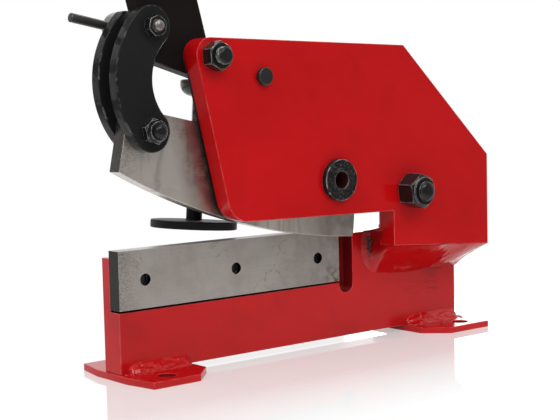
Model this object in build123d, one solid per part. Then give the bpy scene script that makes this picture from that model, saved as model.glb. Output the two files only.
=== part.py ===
from build123d import *
import os
from math import atan2, cos, degrees, hypot, radians, sin, sqrt, tan

# Hand lever shear for plate and round bar, in millimetres.
# Stations run to the right from the left end of the base bar, heights go up from the bench,
# and depths run to the back from the middle of the base bar.

# Feet
foot_thickness = 5.0
left_foot_width = 60.0
right_foot_width = 66.5
foot_length = 90.0
foot_corner_cut = 17.0
foot_tip_taper = 4.8
foot_tip_length = 26.0
left_foot_overhang = 1.5
right_foot_overhang = 7.5
foot_hole_diameter = 13.0
foot_hole_from_end = 24.5
foot_hole_from_tip = 14.0
foot_weld_leg = 7.0
foot_weld_outer_inset = 6.0
foot_weld_inner_inset = 2.0

# Lower blade and its screws
blade_length = 200.0
blade_height = 40.8
blade_thickness = 12.0
blade_proud = 1.0
blade_seat_gap = 1.5
blade_hole_inset = 21.5
blade_hole_drop = 21.0
blade_screw_diameter = 8.0
blade_screw_gap = 0.3
blade_screw_grip = 8.0
blade_screw_head_diameter = 13.0
blade_screw_head_height = 8.0
blade_screw_socket = 6.0
blade_screw_socket_depth = 4.0

# Rear plate: base bar, upright and rear arm cut from one plate
base_tail = 131.0
base_thickness = 20.0
seat_height = 42.3
seat_wall_drop = 5.5
slot_gap = 1.0
slot_width = 14.0
slot_depth = 8.3
slot_round_share = 0.49
shoulder_drop = 4.6
throat_depth = 64.0
throat_height = 19.0
throat_radius = 3.0
rear_arm_setback = 30.0
rear_arm_corner_cut = 28.0
nose_length = 12.5
nose_lean = 14.7
nose_wall = 2.6
nose_top_radius = 11.0
nose_bottom_radius = 5.0

# Front plate, spacer and frame weld
front_plate_thickness = 16.0
front_plate_rise = 140.0
front_plate_top_rise = 3.4
front_plate_left = 46.6
front_plate_left_run = 29.8
front_plate_overhang = 9.5
front_plate_slope_run = 95.0
front_plate_slope_drop = 87.7
front_plate_bottom_drop = 21.5
front_plate_bottom_rise = 7.3
notch_setback = 32.7
notch_height = 27.0
front_plate_arm_rise = 2.6
front_plate_top_radius = 12.0
front_plate_bottom_radius = 18.0
spacer_margin = 6.0
spacer_inset = 3.0
frame_weld_height = 22.0
frame_weld_end_leg = 12.0
frame_weld_foot_share = 0.2

# Upper blade
shear_gap = 0.1
side_gap = 0.2
upper_blade_overhang = 4.6
upper_blade_tip_rise = 54.1
upper_blade_end_width = 44.3
upper_blade_end_lean = 11.9
upper_blade_corner_radius = 5.0
upper_blade_root_rise = 18.2
cutting_edge_radius = 505.0
heel_overhang = 4.5
heel_top_overhang = 6.4
heel_drop = 5.5
heel_top_rise = 13.9
heel_radius = 3.0

# Blade pivot
blade_pivot_setback = 49.5
blade_pivot_rise = 27.6
blade_bolt_diameter = 16.0
blade_bolt_flats = 24.0
blade_bolt_head_height = 10.0
blade_nut_height = 17.5
blade_nut_turn = 8.0
blade_bolt_end = 5.0
blade_boss_radius = 17.5
blade_bush_wall = 3.0

# Lever pivot
lever_pivot_inset = 16.8
lever_pivot_drop = 9.8
lever_stud_diameter = 12.0
lever_nut_flats = 18.0
lever_nut_height = 8.0
lever_nut_turn = 15.0
lever_stud_end = 8.0

# Round bar bushes and tie pin
bar_bore_reach = 74.5
bar_bore_rise = 12.3
bar_bore_diameter = 13.0
bush_wall = 4.5
bush_flange_diameter = 31.0
bush_flange_thickness = 5.0
bush_flange_chamfer = 0.6
tie_pin_reach = 43.0
tie_pin_drop = 13.8
tie_pin_diameter = 9.0
tie_pin_head_diameter = 12.5
tie_pin_head_height = 4.2
tie_pin_head_radius = 0.8

# Links and their bolts
lever_link_reach = 43.9
lever_link_rise = 19.8
lower_link_inset = 21.6
lower_link_rise = 26.5
link_thickness = 9.0
link_width = 28.4
link_bulge = 14.2
rear_link_flat = 11.5
link_gap = 0.3
upper_link_bolt_diameter = 8.0
upper_link_nut_flats = 13.0
upper_link_nut_height = 6.5
upper_link_nut_turn = 20.0
upper_link_bolt_end = 3.5
lower_link_bolt_diameter = 10.0
lower_link_nut_flats = 16.0
lower_link_nut_height = 8.0
lower_link_nut_turn = 12.0
lower_link_bolt_end = 4.0
lower_link_head_height = 6.5
lower_link_play_across = 4.4
lower_link_play_along = 11.5

# Lock hub and its bar
lock_hub_diameter = 24.5
lock_hub_thickness = 14.5
lock_hub_chamfer = 1.6
lock_hub_gap = 0.1
lock_bar_diameter = 6.4
lock_bar_reach = 41.0
lock_bar_rise = 10.5
lock_bar_chamfer = 0.6
lock_bar_foot_gap = 1.5

# Lever and handle
lever_lean = 14.7
lever_width = 49.4
lever_edge_distance = 9.7
lever_bottom_distance = 14.0
lever_bottom_angle = 31.5
lever_corner_radius = 8.0
lever_heel_radius = 4.8
lever_eye_radius = 12.5
lever_shoulder_length = 120.0
lever_shoulder_radius = 16.0
lever_taper_length = 50.0
tang_gap = 1.1
tang_margin = 14.0
tang_corner_radius = 1.0
handle_diameter = 32.0
handle_wall = 2.5
handle_length = 440.0
handle_start_gap = 4.0
handle_bolt_diameter = 8.0
handle_bolt_flats = 13.0
handle_bolt_head_height = 5.3
handle_nut_height = 6.5
handle_bolt_end = 2.5
handle_bolt_inset = 18.0
handle_bolt_spacing = 30.0
grip_wall = 3.5
grip_length = 125.0
grip_cap = 4.0
grip_gap = 0.1
grip_edge_share = 0.8

# Hold-down
hold_down_inset = 42.4
hold_down_lean = 4.75
pad_clearance = 6.9
pad_diameter = 64.0
pad_thickness = 6.0
pad_chamfer = 0.6
pad_hub_diameter = 11.8
pad_hub_height = 10.0
screw_diameter = 10.0
screw_end_depth = 7.0
knob_diameter = 28.0
knob_height = 11.7
knob_rise = 94.3
knob_cap = 3.0
knob_bottom_radius = 8.8
knob_top_chamfer = 0.8
knob_plate_gap = 1.0
bracket_rise = 36.0
bracket_height = 36.0
bracket_left_margin = 13.0
bracket_grip = 34.0
bracket_wall = 9.0
bracket_chamfer = 7.2

# Fits of bolts, pins and bushes, and washers
running_gap = 0.05
seat_gap = 0.02
bolt_hole_gap = 0.2
washer_width = 6.0

# Bevels of nuts and bolt ends, as shares of the width across flats or of the diameter
nut_barrel_share = 1.14
nut_bevel_width_share = 0.05
nut_bevel_height_share = 0.09
nut_bevel_limit_share = 0.3
bolt_end_share = 0.14

# Depths, from the front to the back
base_front = -base_thickness / 2
base_back = base_thickness / 2
shear_plane = base_front - blade_proud
seat_wall_front = shear_plane + blade_thickness
upper_back = shear_plane - shear_gap
upper_front = upper_back - blade_thickness
upper_middle = (upper_front + upper_back) / 2
front_plate_back = upper_front - side_gap
front_plate_front = front_plate_back - front_plate_thickness
front_link_back = upper_front - link_gap
front_link_front = front_link_back - link_thickness
rear_link_front = upper_back + link_gap
rear_link_back = rear_link_front + link_thickness
hold_down_depth = base_back + knob_plate_gap + knob_diameter / 2

# Heights, from the bench up
seat_level = foot_thickness + seat_height
blade_bottom = seat_level + blade_seat_gap
blade_top = blade_bottom + blade_height
seat_wall_top = blade_top - seat_wall_drop
shoulder_level = blade_top - shoulder_drop
rear_arm_bottom = shoulder_level + throat_height
front_plate_bottom = blade_top - front_plate_bottom_drop
notch_bottom = front_plate_bottom + front_plate_bottom_rise
notch_top = notch_bottom + notch_height
front_arm_bottom = notch_top + front_plate_arm_rise
front_plate_top = blade_top + front_plate_rise
front_plate_left_top = front_plate_top + front_plate_top_rise
front_plate_shoulder = front_plate_top - front_plate_slope_drop
hold_down_height = blade_top + pad_clearance + pad_thickness / 2

# Stations, from the left end to the right
base_length = blade_length + base_tail
bolt_middle = (base_length + right_foot_overhang - left_foot_overhang) / 2
slot_left = blade_length + slot_gap
slot_right = slot_left + slot_width
notch_station = blade_length + notch_setback
upright_left = blade_length + throat_depth
front_plate_right = base_length + front_plate_overhang
front_plate_top_right = front_plate_right - front_plate_slope_run
hold_down_station = front_plate_left + hold_down_inset

# Points, each a station and a height
blade_tip = (-upper_blade_overhang, blade_top + upper_blade_tip_rise)
blade_heel = (blade_length + heel_overhang, blade_top - heel_drop)
blade_pivot = (blade_length + blade_pivot_setback, blade_top + blade_pivot_rise)
bar_bore_centre = (blade_pivot[0] - bar_bore_reach, blade_pivot[1] + bar_bore_rise)
lever_pivot = (front_plate_left + lever_pivot_inset, front_plate_top - lever_pivot_drop)
tie_pin_centre = (lever_pivot[0] + tie_pin_reach, lever_pivot[1] - tie_pin_drop)
upper_link_pivot = (lever_pivot[0] - lever_link_reach, lever_pivot[1] + lever_link_rise)
lower_link_pivot = (blade_tip[0] + lower_link_inset, blade_tip[1] + lower_link_rise)

# Diameters and lengths that fit other pieces
bush_diameter = bar_bore_diameter + 2 * bush_wall
blade_bush_diameter = blade_bolt_diameter + 2 * running_gap + 2 * blade_bush_wall
handle_bore = handle_diameter - 2 * handle_wall
tang_width = sqrt(handle_bore**2 - blade_thickness**2) - 2 * tang_gap
tang_length = handle_start_gap + handle_bolt_inset + handle_bolt_spacing + tang_margin
lever_shoulder_end = lever_shoulder_length + lever_taper_length
handle_start = lever_shoulder_end + handle_start_gap
lever_centre_line = lever_edge_distance - lever_width / 2

from_below = (Align.CENTER, Align.CENTER, Align.MIN)


def save(name, shape):
    # Stations become distances from the middle of the bench bolt holes
    export_step(Pos(-bolt_middle, 0, 0) * shape, f"parts/{name}.step")


def slab(sketch, front, back):
    # A plate cut to a sketch of stations and heights, from one depth to another
    return extrude(Plane.XZ.offset(-back) * sketch, back - front)


def outline(*corners):
    # A closed outline from corners given as station, height and radius
    points = [(station, height) for station, height, radius in corners]
    radii = [radius for station, height, radius in corners]
    return make_face(FilletPolyline(*points, radius=radii, close=True))


def disc(centre, diameter):
    return Pos(*centre) * Circle(diameter / 2)


def rod(centre, diameter, front, back):
    return slab(disc(centre, diameter), front, back)


def pillar(diameter, height):
    return Cylinder(diameter / 2, height, align=from_below)


def rims(shape):
    return shape.edges().filter_by(GeomType.CIRCLE)


def hexagon(centre, flats, turn=0):
    return Pos(*centre) * RegularPolygon(flats / 2, 6, major_radius=False, rotation=turn)


def bevelled_hex(centre, flats, front, back, turn=0):
    # A hexagon whose corners are turned off at its front and back faces
    height = back - front
    barrel = Cylinder(nut_barrel_share * flats / 2, height)
    bevel_height = min(nut_bevel_height_share * flats, nut_bevel_limit_share * height)
    barrel = chamfer(rims(barrel), bevel_height, nut_bevel_width_share * flats)
    middle = Pos(centre[0], (front + back) / 2, centre[1]) * Rot(90, 0, 0)
    return slab(hexagon(centre, flats, turn), front, back) & (middle * barrel)


def nut(centre, flats, bore, front, back, turn):
    return bevelled_hex(centre, flats, front, back, turn) - rod(centre, bore, front, back)


def shank(centre, diameter, front, back):
    # A bolt's shank with a bevelled front end
    plain = rod(centre, diameter, front, back)
    return chamfer(rims(plain).sort_by(Axis.Y)[0], bolt_end_share * diameter)


def height_on_line(start, end, station):
    share = (station - start[0]) / (end[0] - start[0])
    return start[1] + share * (end[1] - start[1])


def plate_slope_height(station):
    # The sloping right end that both plates share
    start = (front_plate_top_right, front_plate_top)
    end = (front_plate_right, front_plate_shoulder)
    return height_on_line(start, end, station)


def front_plate_lower_edge():
    return (notch_station, notch_bottom), (front_plate_right, front_plate_bottom)


def rear_arm_left(height):
    # The rear arm's left edge runs beside the front plate's, further to the right
    share = (front_plate_left_top - height) / (front_plate_left_top - front_arm_bottom)
    return front_plate_left + share * front_plate_left_run + rear_arm_setback


def nose_lower_edge(station):
    # The rear arm's nose keeps a thin wall under the lever's stud
    radius = lever_stud_diameter / 2 + running_gap + nose_wall
    below_stud = lever_pivot[1] - radius / cos(radians(nose_lean))
    return below_stud - (station - lever_pivot[0]) * tan(radians(nose_lean))


def blade_hole_centres():
    first = blade_hole_inset
    last = blade_length - blade_hole_inset
    return [(station, blade_top - blade_hole_drop) for station in (first, (first + last) / 2, last)]


def plate_holes():
    # What goes through both plates: two pivots, the tie pin and the round bar bushes
    return [
        (blade_pivot, blade_bolt_diameter + 2 * running_gap),
        (lever_pivot, lever_stud_diameter + 2 * running_gap),
        (tie_pin_centre, tie_pin_diameter + 2 * running_gap),
        (bar_bore_centre, bush_diameter + 2 * seat_gap),
    ]


def foot_plate(width):
    # The outer end is at station 0, with slightly tapered tips; the inner corners are cut off
    tip = foot_length / 2
    cut = foot_corner_cut
    front_side = [(0, foot_tip_length - tip), (foot_tip_taper, -tip), (width - cut, -tip), (width, cut - tip)]
    back_side = [(station, -depth) for station, depth in reversed(front_side)]
    plate = extrude(make_face(Polyline(*front_side, *back_side, close=True)), foot_thickness)
    for depth in (foot_hole_from_tip - tip, tip - foot_hole_from_tip):
        plate -= Pos(foot_hole_from_end, depth, 0) * pillar(foot_hole_diameter, foot_thickness)
    return plate


def make_feet():
    save("left_foot", Pos(-left_foot_overhang, 0, 0) * foot_plate(left_foot_width))
    right = mirror(foot_plate(right_foot_width), Plane.YZ)
    save("right_foot", Pos(base_length + right_foot_overhang, 0, 0) * right)


def foot_weld_pair(reach):
    # A bead on each side of the base bar, almost to the foot's inner end
    leg = foot_weld_leg
    length = reach - foot_weld_outer_inset - foot_weld_inner_inset
    corner = Polyline((0, 0), (leg, 0), (0, leg), close=True)
    bead = extrude(Plane.YZ * make_face(corner), length)
    back_bead = Pos(foot_weld_outer_inset, base_back, foot_thickness) * bead
    return Compound([back_bead, mirror(back_bead, Plane.XZ)])


def make_foot_welds():
    save("left_foot_weld", foot_weld_pair(left_foot_width - left_foot_overhang))
    right_pair = mirror(foot_weld_pair(right_foot_width - right_foot_overhang), Plane.YZ)
    save("right_foot_weld", Pos(base_length, 0, 0) * right_pair)


def rear_plate_outline():
    nose_left = lever_pivot[0] - nose_length
    nose_end = rear_arm_left(lever_pivot[1])
    cut_top = rear_arm_bottom + rear_arm_corner_cut
    return outline(
        (0, foot_thickness, 0),
        (base_length, foot_thickness, 0),
        (base_length, plate_slope_height(base_length), 0),
        (front_plate_top_right, front_plate_top, 0),
        (nose_left, front_plate_left_top, nose_top_radius),
        (nose_left, nose_lower_edge(nose_left), nose_bottom_radius),
        (nose_end, nose_lower_edge(nose_end), nose_bottom_radius),
        (rear_arm_left(cut_top), cut_top, 0),
        (rear_arm_left(cut_top) + rear_arm_corner_cut, rear_arm_bottom, 0),
        (upright_left, rear_arm_bottom, throat_radius),
        (upright_left, shoulder_level, throat_radius),
        (slot_right, shoulder_level, 0),
        (slot_right, seat_wall_top, 0),
        (0, seat_wall_top, 0),
    )


def make_rear_plate():
    plate = slab(rear_plate_outline(), base_front, base_back)
    # The blade's seat, with a slot at its right end that stays closed at the back
    slot_bottom = seat_level - slot_depth
    slot_radius = slot_round_share * slot_width
    seat = outline(
        (0, seat_level, 0),
        (slot_left, seat_level, 0),
        (slot_left, slot_bottom, slot_radius),
        (slot_right, slot_bottom, slot_radius),
        (slot_right, blade_top, 0),
        (0, blade_top, 0),
    )
    plate -= slab(seat, base_front, seat_wall_front)
    for centre in blade_hole_centres():
        plate -= rod(centre, blade_screw_diameter + 2 * bolt_hole_gap, base_front, base_back)
    for centre, diameter in plate_holes():
        plate -= rod(centre, diameter, base_front, base_back)
    save("rear_plate", plate)


def make_front_plate():
    sketch = outline(
        (front_plate_left, front_plate_left_top, front_plate_top_radius),
        (front_plate_top_right, front_plate_top, 0),
        (front_plate_right, front_plate_shoulder, 0),
        (front_plate_right, front_plate_bottom, 0),
        (notch_station, notch_bottom, 0),
        (notch_station, notch_top, 0),
        (front_plate_left + front_plate_left_run, front_arm_bottom, front_plate_bottom_radius),
    )
    plate = slab(sketch, front_plate_front, front_plate_back)
    for centre, diameter in plate_holes():
        plate -= rod(centre, diameter, front_plate_front, front_plate_back)
    save("front_plate", plate)


def make_frame_spacer():
    # Fills the space between the two plates, to the right of the upper blade and under its boss
    lower_edge = front_plate_lower_edge()
    left = notch_station + spacer_inset
    right = base_length - spacer_inset
    boss_right = blade_pivot[0] + blade_boss_radius + spacer_margin
    top = min(blade_pivot[1] + blade_boss_radius, plate_slope_height(right) - spacer_inset)
    sketch = outline(
        (left, height_on_line(*lower_edge, left), 0),
        (right, height_on_line(*lower_edge, right), 0),
        (right, top, 0),
        (boss_right, top, 0),
        (boss_right, shoulder_level, spacer_inset),
        (left, shoulder_level, 0),
    )
    save("frame_spacer", slab(sketch, front_plate_back, base_front))


def make_frame_weld():
    # A deep fillet from the front plate's lower edge back and down to the base bar
    lower_edge = front_plate_lower_edge()
    left = notch_station + spacer_inset
    sections = []
    for station, spread in ((left, 0), (base_length, front_plate_overhang)):
        top = height_on_line(*lower_edge, station)
        front_top = height_on_line(*lower_edge, station + spread)
        points = [
            (station, base_front, top),
            (station + spread, front_plate_front, front_top),
            (station, base_front, top - frame_weld_height),
        ]
        sections.append(Face(Wire.make_polygon(points)))
    skirt = loft(sections, ruled=True)
    # An upright fillet over the spacer's left end
    foot = height_on_line(*lower_edge, left) - frame_weld_height
    ends = []
    for height, share in ((foot, frame_weld_foot_share), (shoulder_level, 1)):
        points = [
            (left, base_front, height),
            (left, base_front + share * (front_plate_back - base_front), height),
            (left - share * frame_weld_end_leg, base_front, height),
        ]
        ends.append(Face(Wire.make_polygon(points)))
    save("frame_weld", skirt + loft(ends, ruled=True))


def make_lower_blade():
    middle = Pos(blade_length / 2, (shear_plane + seat_wall_front) / 2, (blade_bottom + blade_top) / 2)
    blade = middle * Box(blade_length, blade_thickness, blade_height)
    for centre in blade_hole_centres():
        blade -= rod(centre, blade_screw_diameter + 2 * blade_screw_gap, shear_plane, seat_wall_front)
    save("lower_blade", blade)


def make_lower_blade_screws():
    head_back = base_back + blade_screw_head_height
    screws = []
    for centre in blade_hole_centres():
        screw = rod(centre, blade_screw_diameter, seat_wall_front - blade_screw_grip, base_back)
        screw += rod(centre, blade_screw_head_diameter, base_back, head_back)
        socket = hexagon(centre, blade_screw_socket)
        screws.append(screw - slab(socket, head_back - blade_screw_socket_depth, head_back))
    save("lower_blade_screws", Compound(screws))


def make_bar_bushes():
    flange_front = front_plate_front - bush_flange_thickness
    flange = rod(bar_bore_centre, bush_flange_diameter, flange_front, front_plate_front)
    front = chamfer(rims(flange).sort_by(Axis.Y)[0], bush_flange_chamfer)
    front += rod(bar_bore_centre, bush_diameter, front_plate_front, front_plate_back)
    save("front_bush", front - rod(bar_bore_centre, bar_bore_diameter, flange_front, front_plate_back))
    rear = rod(bar_bore_centre, bush_diameter, base_front, base_back)
    save("rear_bush", rear - rod(bar_bore_centre, bar_bore_diameter, base_front, base_back))


def make_tie_pin():
    head_front = front_plate_front - tie_pin_head_height
    head = rod(tie_pin_centre, tie_pin_head_diameter, head_front, front_plate_front)
    pin = fillet(rims(head).sort_by(Axis.Y)[0], tie_pin_head_radius)
    save("tie_pin", pin + rod(tie_pin_centre, tie_pin_diameter, front_plate_front, base_back))


def make_washer(name, centre, diameter):
    # Keeps a moving plate off the rear plate
    ring = disc(centre, diameter + 2 * washer_width) - disc(centre, diameter + 2 * running_gap)
    save(name, slab(ring, upper_back + running_gap, base_front))


def make_blade_pivot():
    nut_front = front_plate_front - blade_nut_height
    head_back = base_back + blade_bolt_head_height
    bolt = shank(blade_pivot, blade_bolt_diameter, nut_front - blade_bolt_end, base_back)
    bolt += bevelled_hex(blade_pivot, blade_bolt_flats, base_back, head_back, blade_nut_turn)
    save("blade_pivot_bolt", bolt)
    bore = blade_bolt_diameter + 2 * seat_gap
    front_nut = nut(blade_pivot, blade_bolt_flats, bore, nut_front, front_plate_front, blade_nut_turn)
    save("blade_pivot_nut", front_nut)
    make_washer("blade_washer", blade_pivot, blade_bolt_diameter)


def make_lever_pivot():
    # A stud screwed into the rear plate, with its nut on the front plate
    nut_front = front_plate_front - lever_nut_height
    save("lever_pivot_stud", shank(lever_pivot, lever_stud_diameter, nut_front - lever_stud_end, base_back))
    bore = lever_stud_diameter + 2 * seat_gap
    front_nut = nut(lever_pivot, lever_nut_flats, bore, nut_front, front_plate_front, lever_nut_turn)
    save("lever_pivot_nut", front_nut)
    make_washer("lever_washer", lever_pivot, lever_stud_diameter)


def bulged_middle(start, end, bulge):
    # The middle of an arc from start to end that bulges to the right of the way it runs
    run = (end[0] - start[0], end[1] - start[1])
    share = bulge / hypot(*run)
    return ((start[0] + end[0]) / 2 + share * run[1], (start[1] + end[1]) / 2 - share * run[0])


def cutting_edge():
    half = hypot(blade_heel[0] - blade_tip[0], blade_heel[1] - blade_tip[1]) / 2
    sag = cutting_edge_radius - sqrt(cutting_edge_radius**2 - half**2)
    return ThreePointArc(blade_tip, bulged_middle(blade_tip, blade_heel, sag), blade_heel)


def lower_link_slot():
    # The slot lies along the line to the blade's own pivot
    turn = degrees(atan2(lower_link_pivot[1] - blade_pivot[1], lower_link_pivot[0] - blade_pivot[0]))
    length = lower_link_bolt_diameter + lower_link_play_along
    width = lower_link_bolt_diameter + lower_link_play_across
    return Pos(*lower_link_pivot) * SlotOverall(length, width, rotation=turn)


def make_upper_blade():
    lean = radians(upper_blade_end_lean)
    width = upper_blade_end_width
    corner = (blade_tip[0] + width * sin(lean), blade_tip[1] + width * cos(lean))
    root_top = (blade_pivot[0], blade_pivot[1] + upper_blade_root_rise)
    heel_top = (blade_length + heel_top_overhang, blade_top + heel_top_rise)
    root_bottom = (blade_pivot[0], heel_top[1])
    back = Polyline(blade_heel, heel_top, root_bottom, root_top, corner, blade_tip)
    sketch = make_face(cutting_edge() + back) + disc(blade_pivot, 2 * blade_boss_radius)
    sketch -= disc(blade_pivot, blade_bush_diameter + 2 * seat_gap)
    sketch -= disc(bar_bore_centre, bar_bore_diameter)
    sketch -= lower_link_slot()
    blade = slab(sketch, upper_front, upper_back)
    for place, radius in ((corner, upper_blade_corner_radius), (blade_heel, heel_radius)):
        uprights = blade.edges().filter_by(Axis.Y)
        blade = fillet(uprights.sort_by_distance((place[0], upper_middle, place[1]))[0], radius)
    save("upper_blade", blade)
    bush = disc(blade_pivot, blade_bush_diameter) - disc(blade_pivot, blade_bolt_diameter + 2 * running_gap)
    save("blade_bush", slab(bush, upper_front, upper_back))


def make_links():
    # Two bent bars with round ends, one on each side of the lever and the upper blade
    middle = bulged_middle(upper_link_pivot, lower_link_pivot, link_bulge)
    link = SlotArc(ThreePointArc(upper_link_pivot, middle, lower_link_pivot), link_width)
    link -= disc(upper_link_pivot, upper_link_bolt_diameter + 2 * seat_gap)
    link -= disc(lower_link_pivot, lower_link_bolt_diameter + 2 * seat_gap)
    save("front_link", slab(link, front_link_front, front_link_back))
    # The rear bar's upper end is ground flat
    above_flat = upper_link_pivot[1] + rear_link_flat + link_width / 2
    link -= Pos(upper_link_pivot[0], above_flat) * Rectangle(2 * link_width, link_width)
    save("rear_link", slab(link, rear_link_front, rear_link_back))


def make_lower_link_bolt():
    centre = lower_link_pivot
    flats = lower_link_nut_flats
    nut_front = front_link_front - lower_link_nut_height
    head_back = rear_link_back + lower_link_head_height
    bolt = shank(centre, lower_link_bolt_diameter, nut_front - lower_link_bolt_end, rear_link_back)
    bolt += bevelled_hex(centre, flats, rear_link_back, head_back, lower_link_nut_turn)
    save("lower_link_bolt", bolt)
    bore = lower_link_bolt_diameter + 2 * seat_gap
    save("lower_link_nut", nut(centre, flats, bore, nut_front, front_link_front, lower_link_nut_turn))


def make_upper_link_bolt():
    centre = upper_link_pivot
    nut_front = front_link_front - upper_link_nut_height
    bolt_front = nut_front - upper_link_bolt_end
    hub_front = rear_link_back + lock_hub_gap
    hub_back = hub_front + lock_hub_thickness
    save("upper_link_bolt", shank(centre, upper_link_bolt_diameter, bolt_front, hub_back))
    bore = upper_link_bolt_diameter + 2 * seat_gap
    upper_nut = nut(centre, upper_link_nut_flats, bore, nut_front, front_link_front, upper_link_nut_turn)
    save("upper_link_nut", upper_nut)
    # A hub with a bar turns on the bolt's rear end, to lock the lever by hand
    hub = chamfer(rims(rod(centre, lock_hub_diameter, hub_front, hub_back)), lock_hub_chamfer)
    hub -= rod(centre, upper_link_bolt_diameter + 2 * running_gap, hub_front, hub_back)
    bar_foot = upper_link_bolt_diameter / 2 + lock_bar_foot_gap
    bar_place = Pos(centre[0], (hub_front + hub_back) / 2, centre[1])
    bar_place *= Rot(0, lock_bar_rise - 90, 0) * Pos(0, 0, bar_foot)
    save("lock_hub", hub - bar_place * pillar(lock_bar_diameter + 2 * seat_gap, lock_hub_diameter))
    bar = pillar(lock_bar_diameter, lock_bar_reach - bar_foot)
    save("lock_bar", bar_place * chamfer(rims(bar).sort_by(Axis.Z)[-1], lock_bar_chamfer))


def on_lever(sketch):
    # The lever's own frame: origin on its pivot, height along the arm
    return Pos(*lever_pivot) * Rot(0, 0, lever_lean) * sketch


def along_handle(height):
    # A place on the handle's centre line, with its own Z axis along the handle
    across = lever_centre_line
    lean = radians(lever_lean)
    station = lever_pivot[0] + across * cos(lean) - height * sin(lean)
    level = lever_pivot[1] + across * sin(lean) + height * cos(lean)
    return Pos(station, upper_middle, level) * Rot(0, -lever_lean, 0)


def handle_bolt_heights():
    first = handle_start + handle_bolt_inset
    return [first, first + handle_bolt_spacing]


def make_lever_arm():
    right = lever_edge_distance
    left = right - lever_width
    fall = tan(radians(lever_bottom_angle))
    bottom = -lever_bottom_distance / cos(radians(lever_bottom_angle))
    tang_right = lever_centre_line + tang_width / 2
    tang_left = lever_centre_line - tang_width / 2
    tang_top = lever_shoulder_end + tang_length
    arm = outline(
        (right, bottom - right * fall, lever_corner_radius),
        (right, lever_shoulder_length, lever_shoulder_radius),
        (tang_right, lever_shoulder_end, 0),
        (tang_right, tang_top, tang_corner_radius),
        (tang_left, tang_top, tang_corner_radius),
        (tang_left, lever_shoulder_end, 0),
        (left, lever_shoulder_length, lever_shoulder_radius),
        (left, bottom - left * fall, lever_heel_radius),
    )
    sketch = on_lever(arm) + disc(upper_link_pivot, 2 * lever_eye_radius)
    sketch -= disc(lever_pivot, lever_stud_diameter + 2 * running_gap)
    sketch -= disc(upper_link_pivot, upper_link_bolt_diameter + 2 * running_gap)
    for height in handle_bolt_heights():
        sketch -= on_lever(disc((lever_centre_line, height), handle_bolt_diameter + 2 * bolt_hole_gap))
    save("lever_arm", slab(sketch, upper_front, upper_back))


def make_handle():
    pipe = pillar(handle_diameter, handle_length) - pillar(handle_bore, handle_length)
    pipe = along_handle(handle_start) * pipe
    for height in handle_bolt_heights():
        hole = Cylinder(handle_bolt_diameter / 2 + bolt_hole_gap, 2 * handle_diameter)
        pipe -= along_handle(height) * Rot(90, 0, 0) * hole
    save("handle_tube", pipe)
    grip_bore = handle_diameter + 2 * grip_gap
    grip = pillar(grip_bore + 2 * grip_wall, grip_length + grip_cap)
    grip = fillet(rims(grip), grip_edge_share * grip_wall)
    grip -= pillar(grip_bore, grip_length)
    save("handle_grip", along_handle(handle_start + handle_length - grip_length) * grip)


def make_handle_bolts():
    tube_front = upper_middle - handle_diameter / 2
    tube_back = upper_middle + handle_diameter / 2
    head_front = tube_front - handle_bolt_head_height
    nut_back = tube_back + handle_nut_height
    bore = handle_bolt_diameter + 2 * seat_gap
    bolts = []
    nuts = []
    for height in handle_bolt_heights():
        place = along_handle(height).position
        centre = (place.X, place.Z)
        bolt = rod(centre, handle_bolt_diameter, tube_front, nut_back + handle_bolt_end)
        bolts.append(bolt + bevelled_hex(centre, handle_bolt_flats, head_front, tube_front, lever_lean))
        nuts.append(nut(centre, handle_bolt_flats, bore, tube_back, nut_back, lever_lean))
    save("handle_bolts", Compound(bolts))
    save("handle_nuts", Compound(nuts))


def along_screw(height):
    # The hold-down's own frame: origin in the middle of the pad, Z up along the screw
    pad_middle = Pos(hold_down_station, hold_down_depth, hold_down_height)
    return pad_middle * Rot(0, hold_down_lean, 0) * Pos(0, 0, height)


def make_hold_down():
    hub_top = pad_thickness / 2 + pad_hub_height
    screw_foot = hub_top - screw_end_depth
    pad = Cylinder(pad_diameter / 2, pad_thickness)
    pad = chamfer(rims(pad), pad_chamfer)
    pad += Pos(0, 0, pad_thickness / 2) * pillar(pad_hub_diameter, pad_hub_height)
    pad -= Pos(0, 0, screw_foot) * pillar(screw_diameter + 2 * running_gap, screw_end_depth)
    save("hold_down_pad", along_screw(0) * pad)
    screw_bottom = screw_foot + running_gap
    socket_depth = knob_height - knob_cap
    screw = pillar(screw_diameter, knob_rise + socket_depth - screw_bottom)
    save("hold_down_screw", along_screw(screw_bottom) * screw)
    knob = pillar(knob_diameter, knob_height)
    knob = fillet(rims(knob).sort_by(Axis.Z)[0], knob_bottom_radius)
    knob = chamfer(rims(knob).sort_by(Axis.Z)[-1], knob_top_chamfer)
    knob -= pillar(screw_diameter + 2 * seat_gap, socket_depth)
    save("hold_down_knob", along_screw(knob_rise) * knob)


def make_hold_down_bracket():
    # A block welded to the back of the rear arm, which the hold-down's screw goes through
    bottom = hold_down_height + bracket_rise
    left = hold_down_station - bracket_left_margin
    right = rear_arm_left(bottom) + bracket_grip
    back = hold_down_depth + screw_diameter / 2 + bracket_wall
    middle = Pos((left + right) / 2, (base_back + back) / 2, bottom + bracket_height / 2)
    block = middle * Box(right - left, back - base_back, bracket_height)
    block = chamfer(block.edges().filter_by(Axis.Z).group_by(Axis.Y)[-1], bracket_chamfer)
    bore = Cylinder(screw_diameter / 2 + running_gap, 2 * knob_rise)
    save("hold_down_bracket", block - along_screw(bracket_rise) * bore)


os.makedirs("parts", exist_ok=True)
make_feet()
make_foot_welds()
make_rear_plate()
make_front_plate()
make_frame_spacer()
make_frame_weld()
make_lower_blade()
make_lower_blade_screws()
make_bar_bushes()
make_tie_pin()
make_blade_pivot()
make_lever_pivot()
make_upper_blade()
make_links()
make_lower_link_bolt()
make_upper_link_bolt()
make_lever_arm()
make_handle()
make_handle_bolts()
make_hold_down()
make_hold_down_bracket()
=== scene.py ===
import math
import bmesh
import bpy
from mathutils import Matrix, Vector, noise


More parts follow.
